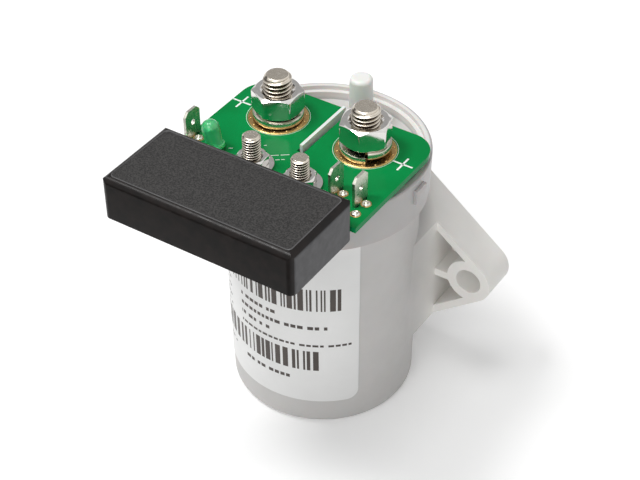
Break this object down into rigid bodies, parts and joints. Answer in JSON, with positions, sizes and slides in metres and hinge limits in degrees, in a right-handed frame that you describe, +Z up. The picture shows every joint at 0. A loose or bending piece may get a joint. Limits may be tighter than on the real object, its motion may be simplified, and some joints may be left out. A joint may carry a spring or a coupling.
{
  "type": "battery isolator relay",
  "caption": "Round moulded relay with two threaded power studs on a green circuit board, a potted black module at the front and two mounting ears at the back.",
  "frame": {"origin": "centre of the cup's flat base", "axes": "+Z up along the cup's axis towards the power studs, +Y towards the wall that the ears are bolted to, +X to the right when facing the wall, so the module hangs out towards -Y"},
  "size_m": [0.0906, 0.089, 0.0998],
  "materials": {
    "cup_plastic": "light grey moulded, fine matt",
    "cap_plastic": "pale, slightly translucent moulded",
    "post_plastic": "off-white moulded",
    "label_film": null,
    "board_green": "glossy green solder mask on glass epoxy",
    "gold_plating": "gold plated copper",
    "stainless_stud": "warm bright threaded steel",
    "plated_nut": "bright plated",
    "spring_steel": "bright spring steel",
    "tinned_tab": "tinned brass, stamped",
    "solder": "bright solder",
    "green_lens": "clear green tinted epoxy",
    "black_case": "black, sparked top with glossy edges",
    "potting": "poured black epoxy",
    "chip_black": "matt black moulding compound",
    "capacitor_sleeve": "shrink sleeve",
    "soft_iron": "zinc plated soft iron",
    "brass_sleeve": "drawn brass",
    "bobbin_plastic": "natural glass-filled nylon",
    "copper": "enamelled or bright copper",
    "lead_insulation": "enamelled lead wire",
    "rubber_stop": "black rubber",
    "chamber_resin": "brown thermoset resin",
    "magnet": "sintered ferrite",
    "silver_tip": "silver alloy contact"
  },
  "bodies": {
    "relay": {"housing_cup": "cup_plastic", "cap": "cap_plastic", "filling_post": "post_plastic", "terminal_barrier": "post_plastic", "label": "label_film", "circuit_board": "board_green", "plated_rings": "gold_plating", "power_studs": "stainless_stud", "power_nuts": "plated_nut", "lock_washers": "spring_steel", "signal_studs": "stainless_stud", "signal_nuts": "plated_nut", "signal_washers": "plated_nut", "blade_tab_left": "tinned_tab", "blade_tab_inner": "tinned_tab", "blade_tab_outer": "tinned_tab", "solder_joints": "solder", "indicator_lens": "green_lens", "indicator_leads": "tinned_tab", "module_case": "black_case", "module_potting": "potting", "control_chips": "chip_black", "power_transistors": "chip_black", "smoothing_capacitor": "capacitor_sleeve", "coil_can": "soft_iron", "top_plate": "soft_iron", "fixed_core": "soft_iron", "guide_sleeve": "brass_sleeve", "coil_bobbin": "bobbin_plastic", "coil_winding": "copper", "coil_leads": "lead_insulation", "plunger_stop": "rubber_stop", "return_spring": "spring_steel", "arc_chamber": "chamber_resin", "arc_magnets": "magnet", "stud_carrier": "chamber_resin", "carrier_seal": "rubber_stop", "epoxy_seal": "potting", "fixed_contact_tips": "silver_tip"},
    "armature": {"plunger": "soft_iron", "plunger_shaft": "stainless_stud", "contact_spring": "spring_steel", "contact_bridge": "copper", "moving_contact_tips": "silver_tip", "bridge_clip": "spring_steel"}
  },
  "joints": [
    {"name": "armature_slide", "type": "slide", "parent": "relay", "child": "armature", "axis": [0, 0, 1], "range_m": [0, 0.0017], "stiffness_N_per_m": 1500, "springref_m": -0.004, "deforming": ["return_spring"]}
  ]
}
